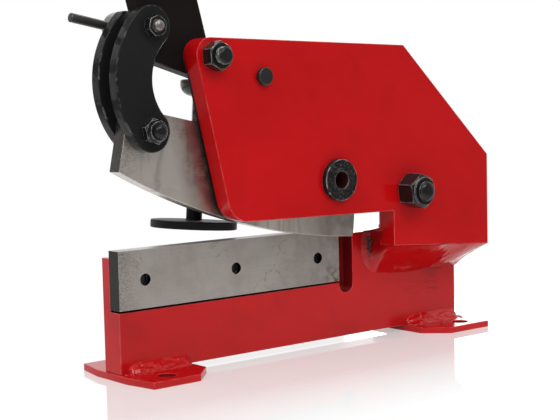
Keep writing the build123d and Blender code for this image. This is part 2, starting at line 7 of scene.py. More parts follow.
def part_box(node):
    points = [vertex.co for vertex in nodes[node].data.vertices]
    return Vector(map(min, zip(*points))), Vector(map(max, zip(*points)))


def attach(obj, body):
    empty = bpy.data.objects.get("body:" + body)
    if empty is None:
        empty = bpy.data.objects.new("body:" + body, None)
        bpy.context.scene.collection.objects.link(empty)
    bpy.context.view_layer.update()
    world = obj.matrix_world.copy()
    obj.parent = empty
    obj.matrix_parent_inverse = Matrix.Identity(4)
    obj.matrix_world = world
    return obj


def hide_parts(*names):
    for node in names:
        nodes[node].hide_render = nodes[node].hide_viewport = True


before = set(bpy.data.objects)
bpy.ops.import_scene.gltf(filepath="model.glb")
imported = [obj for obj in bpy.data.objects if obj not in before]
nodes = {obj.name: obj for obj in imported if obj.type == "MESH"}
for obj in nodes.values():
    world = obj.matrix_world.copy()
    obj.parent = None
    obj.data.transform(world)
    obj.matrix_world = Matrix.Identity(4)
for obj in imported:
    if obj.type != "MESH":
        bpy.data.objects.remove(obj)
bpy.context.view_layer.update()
scene = bpy.context.scene
scene.view_settings.view_transform = "Standard"
print("frame loaded,", len(nodes), "parts")


# small helpers for the shader trees

def addNode(tree, kind, **values):
    node = tree.nodes.new(kind)
    for key, value in values.items():
        setattr(node, key, value)
    return node


def treeOf(*values):
    # every socket knows the tree it is in
    return next(value.id_data for value in values if isinstance(value, bpy.types.NodeSocket))


def fill(node, values):
    # numbers, vectors and colours are set on the node's sockets, anything else is linked to them
    for label, value in values.items():
        socket = node.inputs[label]
        if isinstance(value, (int, float)):
            socket.default_value = value
        elif isinstance(value, tuple):
            socket.default_value = value if socket.type == "VECTOR" else (*value, 1.0)
        elif value is not None:
            node.id_data.links.new(value, socket)
    return node.outputs


def maths(operation, first, second=None):
    node = addNode(treeOf(first, second), "ShaderNodeMath", operation=operation)
    return fill(node, {0: first, 1: second})[0]


def times(first, *others):
    for other in others:
        first = maths("MULTIPLY", first, other)
    return first


def vectorMath(operation, first, second=None):
    return fill(addNode(treeOf(first), "ShaderNodeVectorMath", operation=operation), {0: first, 1: second})


def remap(value, fromLow, fromHigh, toLow=0.0, toHigh=1.0):
    ends = {"From Min": fromLow, "From Max": fromHigh, "To Min": toLow, "To Max": toHigh}
    return fill(addNode(treeOf(value), "ShaderNodeMapRange"), {"Value": value, **ends})["Result"]


def mix(share, first, second):
    return fill(addNode(treeOf(share), "ShaderNodeMix", data_type="RGBA"), {0: share, 6: first, 7: second})[2]


def tint(colour, other, mask, share):
    return mix(times(mask, share), colour, other)


def noiseNode(vector, scaleAndHoleShade, detail=2.0, roughness=0.5):
    values = {"Vector": vector, "Scale": scaleAndHoleShade, "Detail": detail, "Roughness": roughness}
    return fill(addNode(treeOf(vector), "ShaderNodeTexNoise"), values)["Fac"]


def blotches(vector, grain, span):
    # noise with its scale, detail and roughness, spread over a span of its values
    return remap(noiseNode(vector, *grain), *span)


def placeIn(tree, label="Object"):
    return addNode(tree, "ShaderNodeTexCoord").outputs[label]


def axesOf(vector):
    return fill(addNode(treeOf(vector), "ShaderNodeSeparateXYZ"), {"Vector": vector})


def stretched(vector, scales):
    return fill(addNode(treeOf(vector), "ShaderNodeMapping"), {"Vector": vector, "Scale": scales})["Vector"]


def distanceFrom(vector, at, scales):
    # distance from a point, with every axis scaled by its own number
    away = vectorMath("SUBTRACT", vector, at)["Vector"]
    return vectorMath("LENGTH", vectorMath("MULTIPLY", away, scales)["Vector"])["Value"]


def besideLine(spot, at, slant):
    # distance along X from a slanting line through a point
    x, z = at
    offset = maths("ADD", spot["X"], times(spot["Z"], slant))
    return maths("SUBTRACT", offset, x + slant * z)


boxSides = dict(left="X", right="X", front="Y", back="Y", low="Z", high="Z")


def boxMask(spot, box):
    # one inside the stated sides, falling to nothing across each pair of values
    return times(*[remap(spot[axis], *box[side]) for side, axis in boxSides.items() if side in box])


def near(value, first, second):
    return value + first, value + second


def newGroup(name, takes, gives):
    group = bpy.data.node_groups.new(name, "ShaderNodeTree")
    for label, start in takes.items():
        socket = group.interface.new_socket(label, in_out="INPUT", socket_type="NodeSocketFloat")
        socket.default_value = start
    for label in gives:
        group.interface.new_socket(label, in_out="OUTPUT", socket_type="NodeSocketFloat")
    return group, group.nodes.new("NodeGroupInput").outputs, group.nodes.new("NodeGroupOutput")


# effects that several finishes share

edgeHighlightAndWear = dict(
    takes=dict(Radius=0.001, Break=90.0, Bare=0.32, Full=0.58), samples=6, turned=(0.995, 0.86),
    grain=(3.0, 0.6))


def makeEdgeCatch():
    # painted highlight where a rounded edge would pick up light, and paint worn thin there
    s = edgeHighlightAndWear
    group, takes, gives = newGroup("edgeCatch", s["takes"], ["Edge"])
    bevel = fill(addNode(group, "ShaderNodeBevel", samples=s["samples"]), {"Radius": takes["Radius"]})
    flat = addNode(group, "ShaderNodeNewGeometry").outputs["Normal"]
    facing = vectorMath("DOT_PRODUCT", bevel["Normal"], flat)["Value"]
    turn = remap(facing, *s["turned"])
    grain = (takes["Break"], *s["grain"])
    shown = blotches(placeIn(group), grain, (takes["Bare"], takes["Full"]))
    fill(gives, {"Edge": times(turn, shown)})
    return group


coatGrain = dict(
    takes=dict(Peel=420.0, Speck=900.0), peelDetail=1.5, sag=(45.0, 1.0), heightShare=0.5,
    slow=(9.0, 9.0, 14.0), slowGrain=(1.0, 3.0, 0.55), slowSpan=(0.3, 0.7), dot=(0.10, 0.05),
    spread=(160.0, 2.0), spreadSpan=(0.60, 0.72))


def makePaintCoat():
    # orange peel, slow changes of tone and a few specks of dust
    s = coatGrain
    group, takes, gives = newGroup("paintCoat", s["takes"], ["Height", "Tone", "Dust"])
    here = placeIn(group)
    peel = times(noiseNode(here, takes["Peel"], s["peelDetail"]), s["heightShare"])
    sag = times(noiseNode(here, *s["sag"]), s["heightShare"])
    tone = blotches(stretched(here, s["slow"]), s["slowGrain"], s["slowSpan"])
    speck = addNode(group, "ShaderNodeTexVoronoi", feature="F1")
    distance = fill(speck, {"Vector": here, "Scale": takes["Speck"]})["Distance"]
    dots = remap(distance, *s["dot"])
    dust = times(dots, blotches(here, s["spread"], s["spreadSpan"]))
    fill(gives, {"Height": maths("ADD", peel, sag), "Tone": tone, "Dust": dust})
    return group


groundLines = dict(
    takes=dict(Lines=1.0), line=(14.0, 900.0, 900.0), lineGrain=(4.0, 0.65), lineShare=0.3,
    cloud=(22.0, 30.0, 30.0), cloudGrain=(1.0, 5.0, 0.6), cloudShare=0.7, span=(0.32, 0.68))


def makeGroundSteel():
    # fine lines of a surface grinder, along the blade
    s = groundLines
    group, takes, gives = newGroup("groundSteel", s["takes"], ["Height", "Tone"])
    here = placeIn(group)
    lines = noiseNode(stretched(here, s["line"]), takes["Lines"], *s["lineGrain"])
    cloud = noiseNode(stretched(here, s["cloud"]), *s["cloudGrain"])
    tone = maths("ADD", times(lines, s["lineShare"]), times(cloud, s["cloudShare"]))
    fill(gives, {"Height": lines, "Tone": remap(tone, *s["span"])})
    return group


rustGrain = dict(
    takes=dict(Veins=55.0, Clouds=26.0), bend=(60.0, 4.0), shift=(0.022, 0.022, 0.022), vein=(0.03, 0.0),
    dash=(520.0, 2.0), dashSpan=(0.42, 0.56), where=(24.0, 1.0), whereSpan=(0.54, 0.66), cloud=(6.0, 0.62),
    cloudSpan=(0.50, 0.74), run=(130.0, 130.0, 16.0), runGrain=(1.0, 3.0, 0.5), runSpan=(0.56, 0.72))


def makeRustVeins():
    # thin broken veins, brown clouds and runs of oil that have dried on bare steel
    s = rustGrain
    group, takes, gives = newGroup("rustVeins", s["takes"], ["Vein", "Cloud", "Run"])
    here = placeIn(group)
    bend = noiseNode(here, *s["bend"]).node.outputs["Color"]
    shift = vectorMath("MULTIPLY", bend, s["shift"])["Vector"]
    moved = vectorMath("ADD", here, shift)["Vector"]
    cells = addNode(group, "ShaderNodeTexVoronoi", feature="DISTANCE_TO_EDGE")
    distance = fill(cells, {"Vector": moved, "Scale": takes["Veins"]})["Distance"]
    line = remap(distance, *s["vein"])
    dashes = blotches(here, s["dash"], s["dashSpan"])
    where = blotches(here, s["where"], s["whereSpan"])
    cloud = blotches(here, (takes["Clouds"], *s["cloud"]), s["cloudSpan"])
    run = blotches(stretched(here, s["run"]), s["runGrain"], s["runSpan"])
    fill(gives, {"Vein": times(line, dashes, where), "Cloud": cloud, "Run": run})
    return group


edgeCatch = makeEdgeCatch()
paintCoat = makePaintCoat()
groundSteel = makeGroundSteel()
rustVeins = makeRustVeins()


def newFinish(name):
    material = bpy.data.materials.new(name)
    material.use_nodes = True
    tree = material.node_tree
    return material, tree, tree.nodes["Principled BSDF"]


def useEffect(tree, group, **values):
    return fill(addNode(tree, "ShaderNodeGroup", node_tree=group), values)


def coated(tree, s, **wearAndHighlight):
    coat = useEffect(tree, paintCoat, Peel=s["peel"], Speck=s["speck"])
    edge = useEffect(tree, edgeCatch, Radius=s["edgeWidth"], Break=s["edgeBreak"], **wearAndHighlight)
    return coat, edge["Edge"]


def relief(shader, height, strength, distance):
    values = {"Strength": strength, "Distance": distance, "Height": height}
    bump = fill(addNode(treeOf(height), "ShaderNodeBump"), values)
    fill(shader, {"Normal": bump["Normal"]})


# red paint, and what lies on it

# short level grinder dashes under the paint of the base, below the skirt weld
grindMarks = dict(
    left=(0.086, 0.098), right=(0.156, 0.140), low=(0.020, 0.032), high=(0.054, 0.048),
    back=(-0.005, -0.009), dash=(70.0, 70.0, 700.0), dashSpan=(0.50, 0.60), clump=(60.0, 60.0, 26.0),
    clumpSpan=(0.44, 0.58), grain=(1.0, 1.0), share=0.45, depth=0.9, colour=(0.17, 0.004, 0.005))
# painted shade in the slot beside the lower blade, darker red in its recess
slotPaintedShade = dict(
    left=(0.0310, 0.0316), right=(0.0472, 0.0467), front=(-0.0100, -0.0088), back=(0.0095, 0.0085),
    low=(0.030, 0.031), high=(0.0856, 0.0846), colour=(0.170, 0.0050, 0.0060))
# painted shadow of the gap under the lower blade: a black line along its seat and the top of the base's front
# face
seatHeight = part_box("lower_blade")[0].z
seatGapPaintedShadow = dict(
    left=(-0.1684, -0.1676), right=(0.0330, 0.0320), front=(-0.0104, -0.0099), back=(0.0095, 0.0085),
    low=near(seatHeight, -0.0022, -0.0013), high=near(seatHeight, 0.0014, 0.0008),
    colour=(0.012, 0.003, 0.003))
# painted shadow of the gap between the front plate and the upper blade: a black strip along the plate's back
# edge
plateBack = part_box("front_plate")[1].y
plateEdgePaintedShadow = dict(
    left=(-0.1300, -0.1290), right=(-0.0800, -0.0860), front=near(plateBack, -0.0032, -0.0022),
    back=near(plateBack, 0.0020, 0.0010), low=(0.0960, 0.1000), high=(0.2220, 0.2060),
    colour=(0.012, 0.003, 0.003))
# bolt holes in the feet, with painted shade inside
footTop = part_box("left_foot")[1].z
footHoles = dict(
    x=(-0.1455, 0.1455), y=(-0.031, 0.031), edge=0.0075, inside=0.0070, low=(-0.002, -0.001),
    under=(-0.0002, -0.0008), colour=(0.160, 0.004, 0.005))
# painted shadow beside the notch, where the front plate overhangs the base, and painted shade in the pit at
# the open end of the weld there
notchPaintedShadow = dict(
    at=(0.0620, -0.0150, 0.0790), reach=(72.0, 60.0, 46.0), fall=(1.65, 0.55),
    colour=(0.13, 0.0035, 0.0040))
weldPitPaintedShade = dict(
    at=(0.0618, -0.0122, 0.0745), reach=(470.0, 230.0, 92.0), fall=(1.60, 0.95),
    colour=(0.020, 0.003, 0.003))
# painted shade in the crease at the notch corner, under the front plate's edge
creasePaintedShade = dict(
    at=(0.0660, -0.0215, 0.0780), reach=(420.0, 190.0, 105.0), fall=(1.55, 0.90),
    colour=(0.030, 0.003, 0.003))


def holePaintedShade(x, y):
    s = footHoles
    return dict(
        left=near(x, -s["edge"], -s["inside"]), right=near(x, s["edge"], s["inside"]),
        front=near(y, -s["edge"], -s["inside"]), back=near(y, s["edge"], s["inside"]),
        low=s["low"], high=near(footTop, *s["under"]), colour=s["colour"])


redBase = dict(
    body=(0.450, 0.0034, 0.0046), deep=(0.372, 0.0026, 0.0035), edge=(0.80, 0.17, 0.165),
    dust=(0.55, 0.10, 0.09), smudge=(0.24, 0.0025, 0.0032), smudgeGrain=(34.0, 5.0, 0.58),
    smudgeSpan=(0.50, 0.70), smudgeShare=0.20, paintedShadeGrain=(620.0, 3.0), paintedShadeShare=1.1, peel=380.0,
    speck=700.0, edgeWidth=0.0012, edgeBreak=140.0, edgeShare=0.7, gloss=(0.11, 0.20), shine=0.27,
    bump=(0.10, 0.0006), marks=None, paintedShadeBoxes=[], paintedShadeSpots=[], parts={})
redLooks = dict(
    redPaint=dict(
        parts=dict(front_plate=0.0011, frame_spacer=0.0005, hold_down_bracket=0.0010), shine=0.18,
        paintedShadeBoxes=[plateEdgePaintedShadow]),
    footPaint=dict(
        parts=dict(left_foot=0.0012, right_foot=0.0012),
        paintedShadeBoxes=[holePaintedShade(x, y) for x in footHoles["x"] for y in footHoles["y"]]),
    basePaint=dict(
        parts=dict(rear_plate=0.0009), smudgeShare=0.42, marks=grindMarks, paintedShadeBoxes=[slotPaintedShade, seatGapPaintedShadow],
        paintedShadeSpots=[notchPaintedShadow]),
    weldPaint=dict(gloss=(0.12, 0.21), edgeShare=0.05, shine=0.32, paintedShadeSpots=[notchPaintedShadow, weldPitPaintedShade, creasePaintedShade]),
)


def makeRedPaint(tree, shader, s):
    coat, edge = coated(tree, s)
    here = placeIn(tree)
    spot = axesOf(here)
    colour = mix(coat["Tone"], s["deep"], s["body"])
    colour = mix(coat["Dust"], colour, s["dust"])
    smudge = blotches(here, s["smudgeGrain"], (*s["smudgeSpan"], 0.0, s["smudgeShare"]))
    colour = mix(smudge, colour, s["smudge"])
    # lighter edges: painted highlight of rounded edges, and worn paint
    colour = tint(colour, s["edge"], edge, s["edgeShare"])
    height = coat["Height"]
    if s["marks"]:
        marks = s["marks"]
        dashes = blotches(stretched(here, marks["dash"]), marks["grain"], marks["dashSpan"])
        clumps = blotches(stretched(here, marks["clump"]), marks["grain"], marks["clumpSpan"])
        mask = times(boxMask(spot, marks), dashes, clumps)
        colour = tint(colour, marks["colour"], mask, marks["share"])
        height = maths("SUBTRACT", height, times(mask, marks["depth"]))
    # painted shade and shadow in boxes: the slot, the bolt holes and the gaps beside the blades
    for paintedShadeBoxes in s["paintedShadeBoxes"]:
        colour = mix(boxMask(spot, paintedShadeBoxes), colour, paintedShadeBoxes["colour"])
    # painted shade and shadow around given points, fading with distance and broken up by noise
    for paintedShadeSpots in s["paintedShadeSpots"]:
        away = distanceFrom(here, paintedShadeSpots["at"], paintedShadeSpots["reach"])
        uneven = times(noiseNode(here, *s["paintedShadeGrain"]), s["paintedShadeShare"])
        black = remap(maths("ADD", away, uneven), *paintedShadeSpots["fall"])
        colour = mix(black, colour, paintedShadeSpots["colour"])
    gloss = remap(coat["Tone"], 0.0, 1.0, *s["gloss"])
    fill(shader, {"Base Color": colour, "Roughness": gloss, "Specular IOR Level": s["shine"]})
    relief(shader, height, *s["bump"])


blackBase = dict(
    peel=300.0, speck=330.0, edgeWidth=0.0015, edgeBreak=110.0, edgeShare=0.8, bumpDepth=0.0006,
    rim=(0.6, 0.3), drag=(62.0, 30.0, 62.0), dragGrain=(1.0, 2.5))
blackLooks = dict(
    leverPaint=dict(
        parts=dict(lever_arm=0.0008, handle_tube=0.0004), body=(0.0085, 0.0068, 0.0062),
        deep=(0.0050, 0.0042, 0.0040), edge=(0.09, 0.085, 0.08), dust=(0.16, 0.15, 0.14),
        gloss=(0.40, 0.54), shine=0.06, bump=0.12, wearAndHighlight=(0.45, 0.65), ripple=0.0),
    linkPaint=dict(
        parts=dict(front_link=0.0008, rear_link=0.0008), body=(0.0125, 0.0125, 0.0129),
        deep=(0.0085, 0.0085, 0.0088), edge=(0.58, 0.58, 0.57), dust=(0.26, 0.25, 0.24),
        gloss=(0.08, 0.18), shine=0.11, bump=0.40, wearAndHighlight=(0.50, 0.64), ripple=4.5),
)


def makeBlackPaint(tree, shader, s):
    sparse, full = s["wearAndHighlight"]
    coat, edge = coated(tree, s, Bare=sparse, Full=full)
    colour = mix(coat["Tone"], s["deep"], s["body"])
    colour = mix(coat["Dust"], colour, s["dust"])
    # lighter edges: painted highlight of rounded edges, and worn paint
    colour = tint(colour, s["edge"], edge, s["edgeShare"])
    height = coat["Height"]
    if s["ripple"]:
        # drag lines of the cutting torch across the rims, under the paint
        sides = axesOf(placeIn(tree, "Normal"))
        rim = remap(maths("ABSOLUTE", sides["Y"]), *s["rim"])
        drag = noiseNode(stretched(placeIn(tree), s["drag"]), *s["dragGrain"])
        height = maths("ADD", height, times(rim, drag, s["ripple"]))
    gloss = remap(coat["Tone"], 0.0, 1.0, *s["gloss"])
    fill(shader, {"Base Color": colour, "Roughness": gloss, "Specular IOR Level": s["shine"]})
    relief(shader, height, s["bump"], s["bumpDepth"])


# one line of dried oil that ran down the upper blade from the link bolt
oilLine = dict(
    start=(-0.1354, 0.170), slant=-0.23, grain=(95.0, 3.0), wander=0.012, width=(0.0034, 0.0002),
    share=0.32)
# painted reflection of the red front plate and painted shade on the upper blade beside the plate's edge, with
# a painted black shadow line right at the edge
plateSideReflectionAndShade = dict(
    edge=(-0.1023, 0.149), slant=0.2328, grain=(150.0, 4.0, 0.6), span=(0.30, 0.60, 0.55, 1.0),
    layers=(
        dict(rise=(-0.027, -0.012), fall=(0.040, 0.010), share=0.62, colour=(0.12, 0.030, 0.028)),
        dict(rise=(-0.0085, -0.0020), fall=(0.030, 0.000), share=0.62, colour=(0.025, 0.013, 0.012))))
# brown patch low down on the lower blade, beside the slot
slotStain = dict(
    left=(0.012, 0.028), high=(0.068, 0.054), grain=(210.0, 4.0, 0.65), span=(0.46, 0.62), share=0.95)
# stain colours for the blades, with the colours of their painted edge highlight and painted shade
steelDirtShadeAndHighlight = dict(
    vein=(0.09, 0.04, 0.026), cloud=(0.20, 0.160, 0.122), run=(0.16, 0.112, 0.076),
    edge=(0.86, 0.85, 0.84), scaleAndHoleShade=(0.007, 0.007, 0.0073), stain=(0.10, 0.062, 0.040),
    heelShadeAndStain=(0.085, 0.060, 0.048))
steelBase = dict(
    lines=1.0, edgeBreak=60.0, cloudShare=0.35, speckGrain=(900.0, 3.0, 0.6), speckSpan=(0.44, 0.66),
    hazeGrain=(130.0, 4.0, 0.6), hazeSpan=(0.36, 0.66), endFace=(0.90, 0.97), metallic=0.84,
    cloudGloss=-0.5, glossSpan=(-0.3, 1.0), bump=(0.10, 0.0002), oilLine=None, besidePlateShading=None, corner=None)
steelLooks = dict(
    upperBladeSteel=dict(
        node="upper_blade", parts=dict(upper_blade=0.0008),
        tones=((0.510, 0.466, 0.418), (0.636, 0.588, 0.536)), veins=48.0, veinShare=0.30, clouds=24.0,
        runs=0.45, stainShare=0.6, stainEnd=(-0.150, -0.176), heelShadeSpan=(-0.030, 0.010),
        heelShare=(0.46, 0.70), scaleAndHoleShade=0.12, endScale=0.72, gloss=(0.20, 0.32), edgeWidth=0.0009,
        edgeShare=0.85, oilLine=oilLine, besidePlateShading=plateSideReflectionAndShade),
    lowerBladeSteel=dict(
        node="lower_blade", parts=dict(lower_blade=0.0003),
        tones=((0.345, 0.315, 0.287), (0.44, 0.405, 0.372)), veins=62.0, veinShare=0.50, clouds=30.0,
        runs=0.10, stainShare=0.8, stainEnd=(-0.148, -0.170), heelShadeSpan=(-0.050, 0.020),
        heelShare=(0.22, 0.44), scaleAndHoleShade=1.0, endScale=0.95, gloss=(0.28, 0.42), edgeWidth=0.0006,
        edgeShare=0.7, corner=slotStain),
)


def makeBladeSteel(tree, shader, s):
    grain = useEffect(tree, groundSteel, Lines=s["lines"])
    rust = useEffect(tree, rustVeins, Veins=s["veins"], Clouds=s["clouds"])
    edge = useEffect(tree, edgeCatch, Radius=s["edgeWidth"], Break=s["edgeBreak"])["Edge"]
    here = placeIn(tree)
    spot = axesOf(here)
    colour = mix(grain["Tone"], *s["tones"])
    colour = tint(colour, steelDirtShadeAndHighlight["cloud"], rust["Cloud"], s["cloudShare"])
    colour = tint(colour, steelDirtShadeAndHighlight["run"], rust["Run"], s["runs"])
    colour = tint(colour, steelDirtShadeAndHighlight["vein"], rust["Vein"], s["veinShare"])
    # brown specks gather towards the open end, and the heel turns darker brown: painted shade from the plates
    # above, with some stain
    specks = blotches(here, s["speckGrain"], (*s["speckSpan"], 0.0, s["stainShare"]))
    colour = tint(colour, steelDirtShadeAndHighlight["stain"], specks, remap(spot["X"], *s["stainEnd"]))
    heelShadeMask = blotches(here, s["hazeGrain"], (*s["hazeSpan"], *s["heelShare"]))
    colour = tint(colour, steelDirtShadeAndHighlight["heelShadeAndStain"], heelShadeMask, remap(spot["X"], *s["heelShadeSpan"]))
    if s["corner"]:
        corner = s["corner"]
        patch = blotches(here, corner["grain"], (*corner["span"], 0.0, corner["share"]))
        colour = tint(colour, steelDirtShadeAndHighlight["stain"], patch, boxMask(spot, corner))
    # painted reflection and shade beside the front plate's edge
    if s["besidePlateShading"]:
        besidePlateShading = s["besidePlateShading"]
        past = besideLine(spot, besidePlateShading["edge"], besidePlateShading["slant"])
        patchy = blotches(here, besidePlateShading["grain"], besidePlateShading["span"])
        for layer in besidePlateShading["layers"]:
            besidePlateMask = times(patchy, remap(past, *layer["rise"], 0.0, layer["share"]))
            colour = tint(colour, layer["colour"], besidePlateMask, remap(past, *layer["fall"]))
    if s["oilLine"]:
        oil = s["oilLine"]
        wander = maths("SUBTRACT", noiseNode(here, *oil["grain"]), 0.5)
        beside = besideLine(spot, oil["start"], oil["slant"])
        offset = maths("ADD", beside, times(wander, oil["wander"]))
        line = remap(maths("ABSOLUTE", offset), *oil["width"])
        colour = tint(colour, steelDirtShadeAndHighlight["run"], line, oil["share"])
    # brighter edges: painted highlight of the edges, and wear
    colour = tint(colour, steelDirtShadeAndHighlight["edge"], edge, s["edgeShare"])
    # sawn ends keep the black scale of the bar
    sides = axesOf(placeIn(tree, "Normal"))
    endFace = remap(maths("ABSOLUTE", sides["X"]), *s["endFace"])
    colour = tint(colour, steelDirtShadeAndHighlight["scaleAndHoleShade"], endFace, s["endScale"])
    # the walls of the screw holes, away from the outer faces, take the same dark colour as painted shade
    low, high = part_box(s["node"])
    walls = dict(
        left=near(low.x, 0.002, 0.003), right=near(high.x, -0.002, -0.003),
        front=near(low.y, 0.0002, 0.0006), low=near(low.z, 0.004, 0.005), high=near(high.z, -0.004, -0.005))
    colour = tint(colour, steelDirtShadeAndHighlight["scaleAndHoleShade"], boxMask(spot, walls), s["scaleAndHoleShade"])
    sharp, dull = s["gloss"]
    polish = maths("ADD", grain["Tone"], times(rust["Cloud"], s["cloudGloss"]))
    gloss = remap(polish, *s["glossSpan"], dull, sharp)
    fill(shader, {"Base Color": colour, "Roughness": gloss, "Metallic": s["metallic"]})
    relief(shader, grain["Height"], *s["bump"])


# cast grain on the round bar bush's face, and a dark reddish brown inside its bore
bushBore = dict(
    node="front_bush", radius=0.0065, soft=(0.0003, 0.0001), across=(1.0, 0.0, 1.0),
    colour=(0.045, 0.010, 0.008), cast=(0.16, 0.158, 0.155), castGrain=(1050.0, 2.0, 0.6),
    castSpan=(0.55, 0.66), castShare=0.5)
metalBase = dict(
    peel=900.0, speck=1200.0, edgeWidth=0.0008, edgeBreak=260.0, edgeShare=0.7, glossSpan=(0.3, 0.7),
    shine=0.5, bump=0.12, bumpDepth=0.0004, bore=None, parts={})
metalLooks = dict(
    blackOxide=dict(
        pale=(0.013, 0.012, 0.012), dark=(0.007, 0.007, 0.007), edge=(0.66, 0.65, 0.64),
        gloss=(0.09, 0.18), metallic=0.3, shine=0.32, edgeShare=0.9,
        parts=dict(
            lower_blade_screws=0.0003, upper_link_nut=0.0003, handle_bolts=0.0003, handle_nuts=0.0003)),
    studBlack=dict(
        pale=(0.015, 0.014, 0.014), dark=(0.008, 0.008, 0.008), edge=(0.60, 0.59, 0.58),
        gloss=(0.14, 0.24), metallic=0.3, shine=0.30, edgeShare=0.9),
    bushBlack=dict(
        pale=(0.007, 0.007, 0.007), dark=(0.003, 0.003, 0.003), edge=(0.70, 0.69, 0.68),
        gloss=(0.30, 0.44), metallic=0.3, shine=0.18, edgeShare=1.0, bump=0.30, bore=bushBore,
        parts=dict(front_bush=0.0007, rear_bush=None)),
    pinBlack=dict(
        pale=(0.030, 0.029, 0.029), dark=(0.014, 0.014, 0.014), edge=(0.62, 0.61, 0.60),
        gloss=(0.12, 0.22), metallic=0.3, shine=0.30, edgeShare=0.8, parts=dict(tie_pin=0.0004)),
    padBlack=dict(
        pale=(0.007, 0.007, 0.0072), dark=(0.004, 0.004, 0.0042), edge=(0.08, 0.08, 0.08),
        gloss=(0.48, 0.64), metallic=0.6, parts=dict(hold_down_pad=0.0004)),
    wornBlack=dict(
        pale=(0.050, 0.047, 0.045), dark=(0.028, 0.026, 0.025), edge=(0.40, 0.39, 0.38),
        gloss=(0.26, 0.40), metallic=0.4, parts=dict(lock_bar=0.0003)),
    knobBlack=dict(
        pale=(0.042, 0.038, 0.038), dark=(0.028, 0.026, 0.026), edge=(0.16, 0.16, 0.17),
        gloss=(0.12, 0.20), metallic=0.0, parts=dict(hold_down_knob=0.0005)),
    hubSteel=dict(
        pale=(0.34, 0.335, 0.33), dark=(0.22, 0.215, 0.21), edge=(0.60, 0.59, 0.58), gloss=(0.28, 0.42),
        metallic=0.85, parts=dict(lock_hub=0.0004)),
    brightZinc=dict(
        pale=(0.22, 0.20, 0.195), dark=(0.13, 0.115, 0.11), edge=(0.42, 0.40, 0.39), gloss=(0.26, 0.40),
        metallic=0.85, parts=dict(blade_washer=None, lever_washer=None)),
    bushBronze=dict(
        pale=(0.46, 0.29, 0.12), dark=(0.30, 0.18, 0.07), edge=(0.66, 0.48, 0.26), gloss=(0.30, 0.45),
        metallic=0.9, parts=dict(blade_bush=None)),
)


def makeMetal(tree, shader, s):
    # turned and plated pieces: blotchy tone, brighter edges from painted highlight and wear
    coat, edge = coated(tree, s)
    colour = mix(coat["Tone"], s["dark"], s["pale"])
    if s["bore"]:
        bore = s["bore"]
        here = placeIn(tree)
        cast = blotches(here, bore["castGrain"], bore["castSpan"])
        colour = tint(colour, bore["cast"], cast, bore["castShare"])
        low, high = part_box(bore["node"])
        reach = distanceFrom(here, tuple((low + high) / 2), bore["across"])
        inside = remap(reach, *near(bore["radius"], *bore["soft"]))
        colour = mix(inside, colour, bore["colour"])
    colour = tint(colour, s["edge"], edge, s["edgeShare"])
    gloss = remap(coat["Height"], *s["glossSpan"], *s["gloss"])
    values = {"Metallic": s["metallic"], "Specular IOR Level": s["shine"]}
    fill(shader, {"Base Color": colour, "Roughness": gloss, **values})
    relief(shader, coat["Height"], s["bump"], s["bumpDepth"])


rubberBase = dict(
    peel=1500.0, speck=800.0, edgeWidth=0.0008, edgeBreak=200.0, bump=(0.35, 0.0004), parts={})
rubberLooks = dict(
    gripRubber=dict(
        body=(0.022, 0.022, 0.023), wearAndHighlight=(0.055, 0.053, 0.052), dust=(0.16, 0.15, 0.14), dustShare=0.5,
        gloss=(0.55, 0.75)),
)


def makeRubber(tree, shader, s):
    coat, edge = coated(tree, s)
    # lighter edges: painted highlight of rounded edges, and wear
    colour = mix(edge, s["body"], s["wearAndHighlight"])
    colour = tint(colour, s["dust"], coat["Dust"], s["dustShare"])
    gloss = remap(coat["Tone"], 0.0, 1.0, *s["gloss"])
    fill(shader, {"Base Color": colour, "Roughness": gloss})
    relief(shader, coat["Height"], *s["bump"])


# a finish's parts keep their shape, with their edges rounded by the width beside each name
roundForm = dict(join=0.000002, flat=0.2, segments=3, corner=32)


def roundEdges(piece, width):
    s = roundForm
    weld = piece.modifiers.new("joinFaces", "WELD")
    weld.merge_threshold = s["join"]
    flat = piece.modifiers.new("flatFaces", "DECIMATE")
    flat.decimate_type = "DISSOLVE"
    flat.angle_limit = math.radians(s["flat"])
    bevel = piece.modifiers.new("edgeRound", "BEVEL")
    bevel.width = width
    bevel.segments = s["segments"]
    bevel.limit_method = "ANGLE"
    bevel.angle_limit = math.radians(s["corner"])
    even = piece.modifiers.new("evenShade", "WEIGHTED_NORMAL")
    even.keep_sharp = False


finish = {}
for make, base, looks in ((makeRedPaint, redBase, redLooks), (makeBlackPaint, blackBase, blackLooks),
                          (makeBladeSteel, steelBase, steelLooks), (makeMetal, metalBase, metalLooks),
                          (makeRubber, rubberBase, rubberLooks)):
    for look in looks:
        s = {**base, **looks[look]}
        finish[look], tree, shader = newFinish(look)
        make(tree, shader, s)
        for name, width in s["parts"].items():
            slots = nodes[name].data.materials
            slots.clear()
            slots.append(finish[look])
            if width:
                roundEdges(nodes[name], width)
print("finishes made, parts finished")


# new pieces

def addPiece(name, shape, look, body, sharp=35.0):
    vertices, faces = shape
    mesh = bpy.data.meshes.new(name)
    mesh.from_pydata([tuple(v) for v in vertices], [], faces)
    mesh.validate()
    shell = bmesh.new()
    shell.from_mesh(mesh)
    bmesh.ops.recalc_face_normals(shell, faces=shell.faces)  # every face looks outwards
    shell.to_mesh(mesh)
    shell.free()
    mesh.shade_smooth()
    mesh.set_sharp_from_angle(angle=math.radians(sharp))
    mesh.materials.append(finish[look])
    piece = bpy.data.objects.new(name, mesh)
    scene.collection.objects.link(piece)
    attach(piece, body)
    return piece


def closedStrip(rings):
    # rings of points joined into a closed skin with capped ends
    vertices = [point for ring in rings for point in ring]
    size = len(rings[0])
    faces = []
    for low in range(0, len(vertices) - size, size):
        for point in range(size):
            ahead = (point + 1) % size
            faces.append((low + point, low + ahead, low + size + ahead, low + size + point))
    faces.append(tuple(reversed(range(size))))
    faces.append(tuple(range(len(vertices) - size, len(vertices))))
    return vertices, faces


